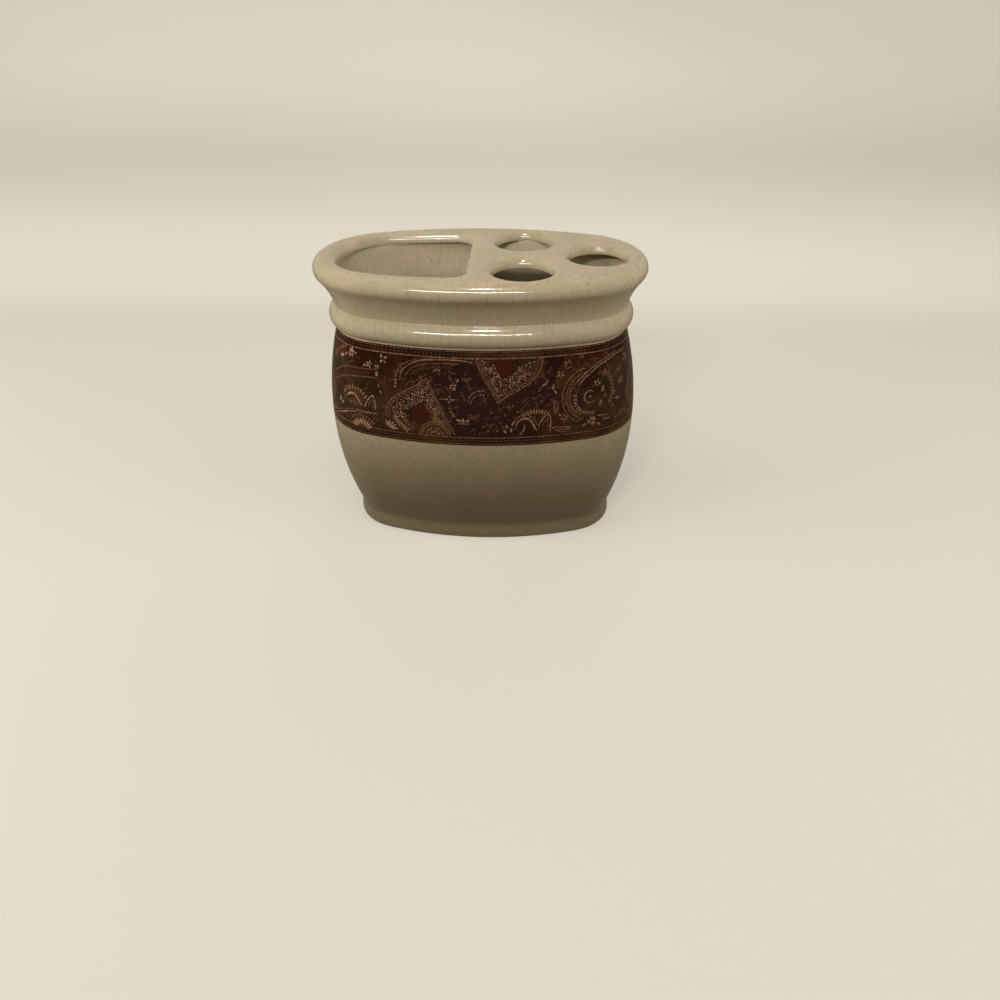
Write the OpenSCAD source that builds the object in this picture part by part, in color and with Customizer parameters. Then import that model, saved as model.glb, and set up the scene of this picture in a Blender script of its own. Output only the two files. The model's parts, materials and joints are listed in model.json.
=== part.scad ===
// Toothbrush holder: an oval slip-cast pot with a rolled rim, a deck with one large opening
// for a toothpaste tube and three round holes for brushes, and a printed band round its belly.
// Millimetres. Origin at the centre of the foot's underside, +Z up, -Y to the front,
// +X towards the side with the brush holes.

/* [Rim oval] */
// Length over the rolled rim, along X
rim_length = 114; // [90:1:160]
// Width over the rolled rim, along Y
rim_width = 61; // [48:0.5:90]
// How much smaller the end arcs' radius is than the half width
rim_flattening = 5; // [3:0.1:9]
// Height of the top of the deck above the table
total_height = 104; // [80:1:140]

/* [Rim] */
// Radius of the rolled edge
roll_radius = 3.8; // [2.5:0.1:6]
// Radius of the hollow under the rolled edge
cove_radius = 24; // [14:0.5:40]
// Height of the neck, from the crease above the bead to the top of the deck
neck_height = 16; // [12:0.5:24]
// How far the creases lie inside the rim oval
crease_inset = 5.8; // [4:0.1:9]
// Where the deck's joint runs, inside the rim oval
seam_inset = 3.4; // [3:0.1:3.6]
// Inner edge of the ledge that carries the deck
ledge_inset = 5; // [4.4:0.1:5.4]

/* [Bead] */
// Height of the bead between its two creases
bead_height = 8; // [5:0.5:12]
// How far the bead stands out from the creases
bead_out = 2.2; // [1:0.1:3.5]

/* [Pot] */
// Height of the widest place of the belly
belly_height = 44; // [30:0.5:60]
// Inset of the belly from the rim oval at its widest place
belly_inset = 0.6; // [0:0.1:3]
// Radius of the wall's upright curve below the belly
lower_radius = 104; // [80:1:200]
// Wall thickness
wall = 3.8; // [2.5:0.1:6]
// Height of the inside floor
floor_height = 8; // [7:0.1:12]
// Height of the cove between the inside floor and the wall
floor_cove = 4; // [1:0.1:6]

/* [Foot] */
// Height of the foot strip
foot_height = 6.3; // [3:0.1:10]
// Inset of the foot's lower edge from the rim oval
foot_inset = 7.1; // [5:0.1:10]
// Width of the foot ring's underside
foot_width = 5.5; // [3:0.1:9]
// Bevel on the foot's lower edges
foot_bevel = 0.8; // [0.2:0.1:1.5]
// Depth of the hollow under the floor
foot_hollow = 2; // [0.5:0.1:4]

/* [Deck] */
// Thickness of the deck
deck_thick = 3.4; // [2.5:0.1:5]
// Radius of the rounding on the upper edges of the brush holes
lip_round = 1.5; // [0.5:0.1:2]

/* [Brush holes] */
// Deck left between the front or back bore and the rim oval
hole_margin = 6.1; // [5.2:0.1:8]
// Deck left between the front and back bores
hole_web = 9.2; // [6:0.1:14]
// Deck left between the right bore and the end of the rim oval
far_margin = 7.2; // [6:0.1:10]
// X of the front and back holes, as a share of the half length
hole_x_share = 0.26; // [0.22:0.01:0.32]

/* [Toothpaste opening] */
// Deck left between the opening and the end of the rim oval
mouth_end_margin = 8.5; // [6:0.1:12]
// Deck left between the opening's widest place and the rim oval's sides
mouth_side_margin = 8.6; // [6:0.1:12]
// How much smaller the opening's end arc is than its half width
mouth_flattening = 2.4; // [1:0.1:6]
// Width of the bridge between the opening and the front and back bores
bridge_width = 8.9; // [6:0.1:12]
// Radius of the two corners on the straight side
mouth_corner = 5; // [2:0.1:8]

/* [Partition] */
// Thickness of the wall between the two compartments
partition_thick = 3.4; // [2:0.1:5]

/* [Printed band] */
// Height of the band's lower edge
band_bottom = 46; // [36:0.5:60]
// Clear strip between the band and the bead
band_margin = 0.4; // [0.2:0.1:3]
// Thickness of the print and its glaze
band_thick = 0.25; // [0.1:0.05:0.4]
// Gap where the two halves of the print meet
band_gap = 0.3; // [0.1:0.1:1]

/* [Hidden] */
// How far the rounded edges of the brush holes run into the deck
lip_root = 0.6;
// Clearance between pieces that are set into each other
lute_gap = 0.1;
// Length by which cutting shapes run past what they cut
overrun = 1;
// Centre and radius of the rim oval's arcs
half_length = rim_length / 2;
half_width = rim_width / 2;
end_radius = half_width - rim_flattening;
end_x = half_length - end_radius;
side_radius = (pow(end_x, 2) + pow(half_width, 2) - pow(end_radius, 2)) / (2 * (half_width - end_radius));
side_y = side_radius - half_width;
side_angle = atan2(end_x, side_y);
end_angle = 90 - side_angle;
// Pot wall: one arc above the belly and one below it, both upright at the belly
crease_height = total_height - neck_height;
bead_bottom = crease_height - bead_height;
belly_rise = bead_bottom - belly_height;
belly_draw = crease_inset - belly_inset;
upper_radius = (pow(belly_rise, 2) + pow(belly_draw, 2)) / (2 * belly_draw);
foot_top_inset = belly_inset + lower_radius - sqrt(pow(lower_radius, 2) - pow(belly_height - foot_height, 2));
neck_inset = belly_inset + upper_radius - sqrt(pow(upper_radius - wall, 2) - pow(belly_rise, 2));
floor_drop = belly_height - floor_height;
cove_drop = floor_drop - floor_cove;
floor_wall_inset = belly_inset + lower_radius - sqrt(pow(lower_radius - wall, 2) - pow(floor_drop, 2));
cove_wall_inset = belly_inset + lower_radius - sqrt(pow(lower_radius - wall, 2) - pow(cove_drop, 2));
foot_inner_inset = foot_inset + foot_width;
// Depth of the strip in which wall sections are drawn, as a share of the end radius
strip_share = 0.7;
strip = end_radius * strip_share;
// Bead arc
bead_radius = (pow(bead_height / 2, 2) + pow(bead_out, 2)) / (2 * bead_out);
bead_center_inset = crease_inset - bead_out + bead_radius;
bead_center_height = crease_height - bead_height / 2;
// Rolled edge and the hollow under it: the hollow's arc touches the roll and ends at the crease
roll_height = total_height - roll_radius;
reach_in = crease_inset - roll_radius;
reach_down = roll_height - crease_height;
reach = sqrt(pow(reach_in, 2) + pow(reach_down, 2));
reach_angle = atan2(reach_down, reach_in);
cove_turn = acos((pow(roll_radius + cove_radius, 2) + pow(reach, 2) - pow(cove_radius, 2))
    / (2 * (roll_radius + cove_radius) * reach));
cove_angle = reach_angle + cove_turn;
cove_center_inset = roll_radius + (roll_radius + cove_radius) * cos(cove_angle);
cove_center_height = roll_height - (roll_radius + cove_radius) * sin(cove_angle);
touch_inset = roll_radius + roll_radius * cos(cove_angle);
touch_height = roll_height - roll_radius * sin(cove_angle);
// Deck
deck_bottom = total_height - deck_thick;
lip_height = total_height - lip_round;
deck_inset = seam_inset + lute_gap;
bore_radius = (half_width - hole_margin - hole_web / 2) / 2;
hole_x = hole_x_share * half_length;
hole_y = bore_radius + hole_web / 2;
far_hole_x = half_length - far_margin - bore_radius;
hole_spots = [[hole_x, -hole_y], [hole_x, hole_y], [far_hole_x, 0]];
// Toothpaste opening
mouth_side_x = hole_x - bore_radius - bridge_width;
mouth_half_width = half_width - mouth_side_margin;
mouth_end_radius = mouth_half_width - mouth_flattening;
mouth_end_x = half_length - mouth_end_margin - mouth_end_radius;
mouth_side_radius = (pow(mouth_end_x, 2) + pow(mouth_half_width, 2) - pow(mouth_end_radius, 2))
    / (2 * (mouth_half_width - mouth_end_radius));
mouth_side_y = mouth_side_radius - mouth_half_width;
mouth_side_angle = atan2(mouth_end_x, mouth_side_y);
corner_x = mouth_side_x - mouth_corner;
corner_y = sqrt(pow(mouth_side_radius - mouth_corner, 2) - pow(corner_x, 2)) - mouth_side_y;
corner_angle = atan2(-corner_x, corner_y + mouth_side_y);
// Partition, under the middle of the bridge
partition_left = mouth_side_x + bridge_width / 2 - partition_thick / 2;
partition_right = partition_left + partition_thick;
band_top = bead_bottom - band_margin;
$fn = 96;

// Flat oval that lies the given distance inside the rim oval
module oval(inset) {
    touch_x = end_x + (end_radius - inset) * sin(side_angle);
    for (side = [-1, 1])
        translate([side * end_x, 0])
            circle(r = end_radius - inset);
    intersection() {
        translate([0, side_y])
            circle(r = side_radius - inset);
        translate([0, -side_y])
            circle(r = side_radius - inset);
        square([2 * touch_x, rim_width], center = true);
    }
}

// Sweep of a section round one end arc. The section is drawn with X as minus its inset.
module end_sweep(side, from, turn) {
    translate([side * end_x, 0, 0])
        rotate([0, 0, from])
            rotate_extrude(angle = turn)
                translate([end_radius, 0])
                    children();
}

// Sweep of a section along the front (-1) or back (1) arc
module side_sweep(side) {
    translate([0, -side * side_y, 0])
        rotate([0, 0, side * 90 - side_angle])
            rotate_extrude(angle = 2 * side_angle)
                translate([side_radius, 0])
                    children();
}

module oval_sweep() {
    end_sweep(1, -end_angle, 2 * end_angle)
        children();
    end_sweep(-1, 180 - end_angle, 2 * end_angle)
        children();
    side_sweep(-1)
        children();
    side_sweep(1)
        children();
}

// Strip of the section plane between two heights and two insets
module window(low, high, outer, inner) {
    translate([-inner, low])
        square([inner - outer, high - low]);
}

module upper_disc(grow) {
    translate([-belly_inset - upper_radius, belly_height])
        circle(r = upper_radius + grow);
}

module lower_disc(grow) {
    translate([-belly_inset - lower_radius, belly_height])
        circle(r = lower_radius + grow);
}

module pot_section() {
    difference() {
        union() {
            intersection() {
                upper_disc(0);
                window(belly_height, bead_bottom, 0, strip);
            }
            intersection() {
                lower_disc(0);
                window(foot_height, belly_height, 0, strip);
            }
        }
        intersection() {
            upper_disc(-wall);
            window(belly_height, bead_bottom + overrun, 0, strip + overrun);
        }
        intersection() {
            lower_disc(-wall);
            window(floor_height + floor_cove, belly_height, 0, strip + overrun);
        }
        polygon([
            [-strip - overrun, floor_height],
            [-floor_wall_inset - floor_cove, floor_height],
            [-cove_wall_inset, floor_height + floor_cove],
            [-strip - overrun, floor_height + floor_cove]
        ]);
    }
}

module body() {
    color("#cbbf9c") {
        oval_sweep()
            pot_section();
        translate([0, 0, foot_hollow])
            linear_extrude(height = floor_height - foot_hollow)
                oval(foot_inner_inset + lute_gap);
    }
}

module foot_ring() {
    color("#cfc4a3")
        oval_sweep()
            polygon([
                [-foot_inset - foot_bevel, 0],
                [-foot_inset, foot_bevel],
                [-foot_top_inset, foot_height],
                [-foot_inner_inset, foot_height],
                [-foot_inner_inset, foot_bevel],
                [-foot_inner_inset + foot_bevel, 0]
            ]);
}

module bead_ring() {
    color("#d1c6a6")
        oval_sweep()
            intersection() {
                translate([-bead_center_inset, bead_center_height])
                    circle(r = bead_radius);
                window(bead_bottom, crease_height, 0, neck_inset);
            }
}

module rim_section() {
    difference() {
        union() {
            translate([-roll_radius, roll_height])
                circle(r = roll_radius);
            polygon([
                [-neck_inset, crease_height],
                [-crease_inset, crease_height],
                [-touch_inset, touch_height],
                [-roll_radius, roll_height],
                [-ledge_inset, deck_bottom]
            ]);
        }
        translate([-cove_center_inset, cove_center_height])
            circle(r = cove_radius);
        window(deck_bottom, total_height + overrun, seam_inset, strip);
        polygon([
            [-neck_inset, crease_height],
            [-ledge_inset, deck_bottom],
            [-ledge_inset, total_height],
            [-strip, total_height],
            [-strip, crease_height]
        ]);
    }
}

module rim() {
    color("#d6cbab")
        oval_sweep()
            rim_section();
}

// Rounded edge that fills the step along a brush hole, let into the deck beside and below it
module lip_section() {
    intersection() {
        translate([0, lip_height])
            square(lip_round);
        translate([lip_round, lip_height])
            circle(r = lip_round);
    }
    translate([lip_round, lip_height - lip_root])
        square([lip_root, lip_round + lip_root]);
    translate([0, lip_height - lip_root])
        square([lip_round + lip_root, lip_root]);
}

// Outline of the toothpaste opening
module mouth() {
    half_turn = mouth_end_x + mouth_end_radius * sin(mouth_side_angle);
    touch_x = -mouth_side_radius * sin(corner_angle);
    touch_y = mouth_side_radius * cos(corner_angle) - mouth_side_y;
    difference() {
        union() {
            translate([-mouth_end_x, 0])
                circle(r = mouth_end_radius);
            intersection() {
                translate([0, mouth_side_y])
                    circle(r = mouth_side_radius);
                translate([0, -mouth_side_y])
                    circle(r = mouth_side_radius);
                translate([-half_turn, -half_width])
                    square([half_turn + mouth_side_x, rim_width]);
            }
        }
        for (side = [-1, 1])
            polygon([
                [corner_x, side * corner_y],
                [touch_x, side * touch_y],
                [touch_x, side * half_width],
                [mouth_side_x + overrun, side * half_width],
                [mouth_side_x + overrun, side * corner_y]
            ]);
    }
    for (side = [-1, 1])
        translate([corner_x, side * corner_y])
            circle(r = mouth_corner);
}

module deck() {
    color("#d9ceaf") {
        difference() {
            translate([0, 0, deck_bottom])
                linear_extrude(height = deck_thick)
                    oval(deck_inset);
            translate([0, 0, deck_bottom - overrun])
                linear_extrude(height = deck_thick + 2 * overrun)
                    mouth();
            for (spot = hole_spots)
                translate(spot) {
                    translate([0, 0, deck_bottom - overrun])
                        cylinder(r = bore_radius, h = deck_thick + 2 * overrun);
                    translate([0, 0, lip_height])
                        cylinder(r = bore_radius + lip_round, h = lip_round + overrun);
                }
        }
        for (spot = hole_spots)
            translate(spot)
                rotate_extrude()
                    translate([bore_radius, 0])
                        lip_section();
    }
}

// Space inside the walls, from the wall's inside face to the given depth
module chamber_section(depth) {
    intersection() {
        upper_disc(-wall - lute_gap);
        window(belly_height, bead_bottom, 0, depth);
    }
    intersection() {
        lower_disc(-wall - lute_gap);
        window(floor_height + floor_cove, belly_height, 0, depth);
    }
    polygon([
        [-depth, floor_height],
        [-floor_wall_inset - floor_cove - lute_gap, floor_height],
        [-cove_wall_inset - lute_gap, floor_height + floor_cove],
        [-depth, floor_height + floor_cove]
    ]);
    window(bead_bottom, crease_height, neck_inset + lute_gap, depth);
    polygon([
        [-depth, crease_height],
        [-neck_inset - lute_gap, crease_height],
        [-ledge_inset - lute_gap, deck_bottom],
        [-depth, deck_bottom]
    ]);
}

module partition() {
    color("#c4b894")
        intersection() {
            translate([partition_left, -half_width, 0])
                cube([partition_thick, rim_width, total_height]);
            side_sweep(-1)
                chamber_section(rim_width);
            side_sweep(1)
                chamber_section(rim_width);
        }
}

module band_section() {
    intersection() {
        difference() {
            upper_disc(band_thick);
            upper_disc(0);
        }
        window(band_bottom, band_top, -band_thick, strip);
    }
}

module transfer(side) {
    intersection() {
        oval_sweep()
            band_section();
        translate([-half_length, side > 0 ? band_gap / 2 : -half_width, 0])
            cube([rim_length, half_width - band_gap / 2, total_height]);
    }
}

module transfer_front() {
    color("#4a1f12")
        transfer(-1);
}

module transfer_back() {
    color("#4a1f12")
        transfer(1);
}

body();
foot_ring();
bead_ring();
rim();
deck();
partition();
transfer_front();
transfer_back();
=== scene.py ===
import json
import random
from math import acos, asin, atan2, ceil, cos, degrees, dist, hypot, pi, radians, sin, sqrt

import bpy
from mathutils import Matrix, Vector
from mathutils.geometry import delaunay_2d_cdt


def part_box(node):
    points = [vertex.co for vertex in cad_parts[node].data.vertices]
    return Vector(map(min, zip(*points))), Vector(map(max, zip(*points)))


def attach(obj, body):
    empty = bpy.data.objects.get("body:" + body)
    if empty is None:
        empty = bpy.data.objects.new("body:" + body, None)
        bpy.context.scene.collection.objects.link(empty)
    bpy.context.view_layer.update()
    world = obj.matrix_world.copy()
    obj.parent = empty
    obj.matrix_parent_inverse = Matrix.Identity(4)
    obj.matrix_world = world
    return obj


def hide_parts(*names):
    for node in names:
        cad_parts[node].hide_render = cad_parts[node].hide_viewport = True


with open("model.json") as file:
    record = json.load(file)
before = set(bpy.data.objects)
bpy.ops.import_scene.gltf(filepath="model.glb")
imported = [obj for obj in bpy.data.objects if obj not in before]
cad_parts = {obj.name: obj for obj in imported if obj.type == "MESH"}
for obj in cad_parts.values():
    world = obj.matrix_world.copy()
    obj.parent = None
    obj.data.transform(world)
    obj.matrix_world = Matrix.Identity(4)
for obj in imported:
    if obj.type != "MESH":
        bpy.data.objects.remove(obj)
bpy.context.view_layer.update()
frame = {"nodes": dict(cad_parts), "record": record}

# Lengths are in metres, in the frame's own axes. MM turns a size in millimetres into metres.
MM = 0.001

# Sizes read from the frame
_, RIM_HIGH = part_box("rim")
BEAD_LOW, BEAD_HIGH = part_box("bead_ring")
BAND_LOW, BAND_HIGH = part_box("transfer_front")
_, FOOT_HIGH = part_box("foot_ring")
DECK_LOW, DECK_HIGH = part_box("deck")
HALF_LENGTH = RIM_HIGH.x
HALF_WIDTH = RIM_HIGH.y
TOP = DECK_HIGH.z

# Rim oval: two end arcs and two side arcs
FLATTENING = 5 * MM
END_RADIUS = HALF_WIDTH - FLATTENING
END_X = HALF_LENGTH - END_RADIUS
SIDE_RADIUS = (END_X**2 + HALF_WIDTH**2 - END_RADIUS**2) / (2 * FLATTENING)
SIDE_Y = SIDE_RADIUS - HALF_WIDTH
SIDE_ANGLE = atan2(END_X, SIDE_Y)
HALF_SIDE = SIDE_RADIUS * SIDE_ANGLE
HALF_END = END_RADIUS * (pi / 2 - SIDE_ANGLE)
QUARTER = HALF_SIDE + HALF_END

# Outside of the pot, as insets from the rim oval
ROLL_RADIUS = 3.8 * MM
CREASE_INSET = 5.8 * MM
CREASE_HEIGHT = BEAD_HIGH.z
BEAD_BOTTOM = BEAD_LOW.z
BEAD_OUT = 2.2 * MM
COVE_RADIUS = 24 * MM
BELLY_HEIGHT = 44 * MM
BELLY_INSET = 0.6 * MM
LOWER_RADIUS = 104 * MM
UPPER_RISE = BEAD_BOTTOM - BELLY_HEIGHT
UPPER_DRAW = CREASE_INSET - BELLY_INSET
UPPER_RADIUS = (UPPER_RISE**2 + UPPER_DRAW**2) / (2 * UPPER_DRAW)
FOOT_HEIGHT = FOOT_HIGH.z
FOOT_INSET = 7.1 * MM
FOOT_WIDTH = 5.5 * MM
FOOT_ROUND = 1.2 * MM
FOOT_BLEND = 2.2 * MM
FOOT_SHOULDER = 0.45 * FOOT_HEIGHT
FOOT_HOLLOW = 2 * MM
BARE_BELOW = 0.3 * MM

# Inside of the pot
WALL = 3.8 * MM
FLOOR_HEIGHT = 8 * MM
FLOOR_COVE = 4 * MM
SEAM_INSET = 3.9 * MM
DECK_BOTTOM = DECK_LOW.z
NECK_INSET = BELLY_INSET + UPPER_RADIUS - sqrt((UPPER_RADIUS - WALL)**2 - UPPER_RISE**2)
NECK_BY_HOLES = [
    (8.4 * MM, 84 * MM), (9.2 * MM, 87.5 * MM), (10.2 * MM, 90 * MM), (10.3 * MM, 91.2 * MM),
    (9.4 * MM, 93 * MM), (5.2 * MM, DECK_BOTTOM),
]
NECK_BY_MOUTH = [
    (NECK_INSET, 84 * MM), (9.6 * MM, 86 * MM), (9.3 * MM, 88 * MM), (8.8 * MM, 90.5 * MM),
    (8.1 * MM, 92.6 * MM), (6.6 * MM, DECK_BOTTOM),
]

# Openings of the deck
BORE_RADIUS = 9.9 * MM
HOLE_LIP = 3.0 * MM
STEEP_LIP = 0.9 * MM
HOLE_SPOTS = [
    (mount["pos_m"][0], mount["pos_m"][1])
    for mount in frame["record"]["mounts"]
    if mount["kind"] == "bore"
]
HOLE_X = min(x for x, y in HOLE_SPOTS)
MOUTH_SIDE_X = HOLE_X - BORE_RADIUS - 8.9 * MM
MOUTH_HALF_WIDTH = HALF_WIDTH - 8.6 * MM
MOUTH_END_RADIUS = MOUTH_HALF_WIDTH - 2.4 * MM
MOUTH_END_X = HALF_LENGTH - 8.5 * MM - MOUTH_END_RADIUS
MOUTH_SIDE_RADIUS = (MOUTH_END_X**2 + MOUTH_HALF_WIDTH**2 - MOUTH_END_RADIUS**2) / (
    2 * (MOUTH_HALF_WIDTH - MOUTH_END_RADIUS)
)
MOUTH_SIDE_Y = MOUTH_SIDE_RADIUS - MOUTH_HALF_WIDTH
MOUTH_CORNER = 5 * MM
MOUTH_LIP = 3.0 * MM
MOUTH_LIP_SPREAD = 0.22
MOUTH_SPREAD_START = 0.3 * HALF_LENGTH
MOUTH_SPREAD_END = 0.85 * HALF_LENGTH
FLAT_RIM = 0.2 * MM

# Where along the pot its inner neck changes from the shape by the mouth to that by the holes
NECK_MOUTH_END = MOUTH_SIDE_X - 3 * MM
NECK_HOLES_START = MOUTH_SIDE_X + 5 * MM

# Corners of the outside that turn more than SOFT_TURN are softened
SOFT_REACH = 0.9 * MM
SOFT_SHARE = 0.45
SOFT_TURN = radians(14)

# Edges that turn more than this are shaded as sharp
SHARP_ANGLE = radians(40)

# How finely curves are cut up
SIDE_STEPS = 30
END_STEPS = 28
CURVE_STEP = 0.7 * MM
ROLL_STEP = 0.35 * MM
BEAD_STEP = 0.45 * MM
FOOT_STEP = 0.2 * MM
WALL_STEP = 1.2 * MM
SOFT_STEPS = 4
FOOT_BLEND_STEPS = 8
MOUTH_CORNER_STEPS = 12
MOUTH_SIDE_STEPS = 20
MOUTH_END_STEPS = 48
MOUTH_LIP_STEPS = 10
HOLE_STEPS = 72
HOLE_LIP_STEPS = 8
HOLE_LIP_SHARES = (0.42, 0.56, 0.72, 0.88, 1.0, 1.15)


def srgb(red, green, blue):
    """Linear colour, with alpha, of an 8-bit display colour."""
    parts = [value / 255 for value in (red, green, blue)]
    linear = [p / 12.92 if p <= 0.04045 else ((p + 0.055) / 1.055) ** 2.4 for p in parts]
    return (*linear, 1.0)


# Points on the rim oval

def on_oval(travel, inset, height):
    """Point at a distance travelled round the rim oval from the front middle, towards +X first."""
    around = (travel + 2 * QUARTER) % (4 * QUARTER) - 2 * QUARTER
    side = 1 if around >= 0 else -1
    along = abs(around)
    behind = along > QUARTER
    if behind:
        along = 2 * QUARTER - along
    if along <= HALF_SIDE:
        angle = along / SIDE_RADIUS
        x = (SIDE_RADIUS - inset) * sin(angle)
        y = SIDE_Y - (SIDE_RADIUS - inset) * cos(angle)
    else:
        angle = SIDE_ANGLE + (along - HALF_SIDE) / END_RADIUS
        x = END_X + (END_RADIUS - inset) * sin(angle)
        y = -(END_RADIUS - inset) * cos(angle)
    return Vector((side * x, -y if behind else y, height))


def columns():
    """Distances round the rim oval at which the skins have their columns of vertices."""
    side = [HALF_SIDE * step / SIDE_STEPS for step in range(SIDE_STEPS)]
    end = [HALF_SIDE + HALF_END * step / END_STEPS for step in range(END_STEPS)]
    quarter = side + end
    first = quarter + [2 * QUARTER - travel for travel in [QUARTER, *reversed(quarter[1:])]]
    return first + [travel + 2 * QUARTER for travel in first]


COLUMNS = columns()


# Profiles, as lists of (inset, height)

def spaced(low, high, count):
    """Evenly spaced values from low to high, both ends among them."""
    return [low + (high - low) * i / count for i in range(count + 1)]


def at_angle(centre, radius, angle):
    """Flat point at a distance from a centre, in a direction given in radians."""
    return (centre[0] + radius * cos(angle), centre[1] + radius * sin(angle))


def rounded(start, corner, end, count):
    """Points of a curve from start to end that bends towards the corner."""
    shares = [i / count for i in range(count + 1)]
    return [start * (1 - t)**2 + corner * 2 * t * (1 - t) + end * t**2 for t in shares]


def arc(centre, radius, start, end, step=CURVE_STEP):
    """Points of an arc. Angles are in radians from the inward direction, upwards."""
    count = max(4, round(abs(end - start) * radius / step))
    return [at_angle(centre, radius, angle) for angle in spaced(start, end, count)]


def wall_inset(height, thickness=0.0):
    """Inset of the pot's wall at a height, or of a surface that far inside it."""
    radius = UPPER_RADIUS if height > BELLY_HEIGHT else LOWER_RADIUS
    return BELLY_INSET + radius - sqrt((radius - thickness)**2 - (height - BELLY_HEIGHT)**2)


def wall_run(low, high, thickness=0.0):
    """The wall from one height to another, or a surface that far inside it."""
    count = max(2, round(abs(high - low) / WALL_STEP))
    return [(wall_inset(height, thickness), height) for height in spaced(low, high, count)]


def softened(points):
    """The profile with each sharp corner replaced by a short curve."""
    vectors = [Vector(point) for point in points]
    made = [vectors[0]]
    for before, corner, after in zip(vectors, vectors[1:], vectors[2:]):
        back, ahead = before - corner, after - corner
        if pi - back.angle(ahead, pi) < SOFT_TURN:
            made.append(corner)
            continue
        cut = min(SOFT_REACH, back.length * SOFT_SHARE, ahead.length * SOFT_SHARE)
        start = corner + back.normalized() * cut
        end = corner + ahead.normalized() * cut
        made += rounded(start, corner, end, SOFT_STEPS)
    return [tuple(vector) for vector in [*made, vectors[-1]]]


def cove_profile():
    """The rolled edge and the hollow under it, from the top inwards and down to the crease."""
    roll_height = TOP - ROLL_RADIUS
    reach_in = CREASE_INSET - ROLL_RADIUS
    reach_down = roll_height - CREASE_HEIGHT
    reach = hypot(reach_in, reach_down)
    span = ROLL_RADIUS + COVE_RADIUS
    turn = acos((span**2 + reach**2 - COVE_RADIUS**2) / (2 * span * reach))
    cove_angle = atan2(reach_down, reach_in) + turn
    centre = (ROLL_RADIUS + span * cos(cove_angle), roll_height - span * sin(cove_angle))
    roll = arc((ROLL_RADIUS, roll_height), ROLL_RADIUS, pi / 2, 2 * pi - cove_angle, ROLL_STEP)
    start = pi - cove_angle
    end = atan2(CREASE_HEIGHT - centre[1], CREASE_INSET - centre[0])
    return roll + arc(centre, COVE_RADIUS, start, end)[1:]


def bead_profile():
    """The bead from its upper crease to its lower one."""
    half = (CREASE_HEIGHT - BEAD_BOTTOM) / 2
    radius = (half**2 + BEAD_OUT**2) / (2 * BEAD_OUT)
    centre = (CREASE_INSET - BEAD_OUT + radius, CREASE_HEIGHT - half)
    lean = asin(half / radius)
    return arc(centre, radius, pi - lean, pi + lean, BEAD_STEP)


def foot_profile():
    """The soft hollow over the foot strip, then the strip to the inner edge of its underside."""
    start = Vector((wall_inset(FOOT_HEIGHT + FOOT_BLEND), FOOT_HEIGHT + FOOT_BLEND))
    corner = Vector((wall_inset(FOOT_HEIGHT), FOOT_HEIGHT))
    end = Vector((FOOT_INSET, FOOT_SHOULDER))
    hollow = [tuple(point) for point in rounded(start, corner, end, FOOT_BLEND_STEPS)[1:]]
    outer = (FOOT_INSET + FOOT_ROUND, FOOT_ROUND)
    inner = (FOOT_INSET + FOOT_WIDTH - FOOT_ROUND, FOOT_ROUND)
    return (
        hollow
        + arc(outer, FOOT_ROUND, pi, 1.5 * pi, FOOT_STEP)
        + arc(inner, FOOT_ROUND, 1.5 * pi, 2 * pi, FOOT_STEP)
    )


def pot_profile():
    """The pot's section in three parts: the inside from the middle of its floor up to the seam of
    the deck, the outside from the seam over the rim down to the foot, and the hollow under it."""
    inner = (
        [(wall_inset(FLOOR_HEIGHT, WALL) + FLOOR_COVE, FLOOR_HEIGHT)]
        + wall_run(FLOOR_HEIGHT + FLOOR_COVE, BELLY_HEIGHT, WALL)
        + wall_run(BELLY_HEIGHT, BEAD_BOTTOM, WALL)[1:]
        + NECK_BY_HOLES + [(SEAM_INSET, DECK_BOTTOM)]
    )
    outer = (
        [(SEAM_INSET, TOP)]
        + cove_profile()
        + bead_profile()[1:]
        + wall_run(BEAD_BOTTOM, BELLY_HEIGHT)[1:]
        + wall_run(BELLY_HEIGHT, FOOT_HEIGHT + FOOT_BLEND)[1:]
        + foot_profile()
    )
    hollow = FOOT_INSET + FOOT_WIDTH
    return inner, outer, [(hollow, FOOT_HOLLOW), (hollow + WALL, FOOT_HOLLOW)]


# Meshes

def linked(name, data):
    """New object of this data, linked to the scene."""
    made = bpy.data.objects.new(name, data)
    bpy.context.scene.collection.objects.link(made)
    return made


def make_mesh(name, vertices, faces, materials):
    mesh = bpy.data.meshes.new(name)
    mesh.from_pydata([tuple(vertex) for vertex in vertices], [], faces)
    for material in materials:
        mesh.materials.append(material)
    mesh.shade_smooth()
    return mesh


def make_object(name, vertices, faces, materials, slots=None):
    """Object of these faces, smooth but for its sharp edges. Slots are the faces' material numbers."""
    mesh = make_mesh(name, vertices, faces, materials)
    if slots:
        mesh.polygons.foreach_set("material_index", slots)
    mesh.update()
    mesh.set_sharp_from_angle(angle=SHARP_ANGLE)
    made = linked(name, mesh)
    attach(made, "root")
    return made


def lofted(rings, closed=True):
    """Quads between neighbouring rings of equal length, given as lists of vertex numbers."""
    faces = []
    for lower, upper in zip(rings, rings[1:]):
        count = len(lower)
        for i in range(count if closed else count - 1):
            j = (i + 1) % count
            faces.append((lower[i], lower[j], upper[j], upper[i]))
    return faces


def bridged(ring):
    """Faces that close a ring of the oval, each from the front half straight to the back half."""
    count = len(ring)
    faces = []
    for i in range(-count // 4, count // 4):
        face = [ring[i], ring[i + 1], ring[(count // 2 - i - 1) % count], ring[(count // 2 - i) % count]]
        faces.append(tuple(dict.fromkeys(face)))
    return faces


def flipped(faces):
    return [tuple(reversed(face)) for face in faces]


def add_points(vertices, points):
    """Adds the points to the vertices and returns their numbers."""
    start = len(vertices)
    vertices.extend(points)
    return list(range(start, len(vertices)))


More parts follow.
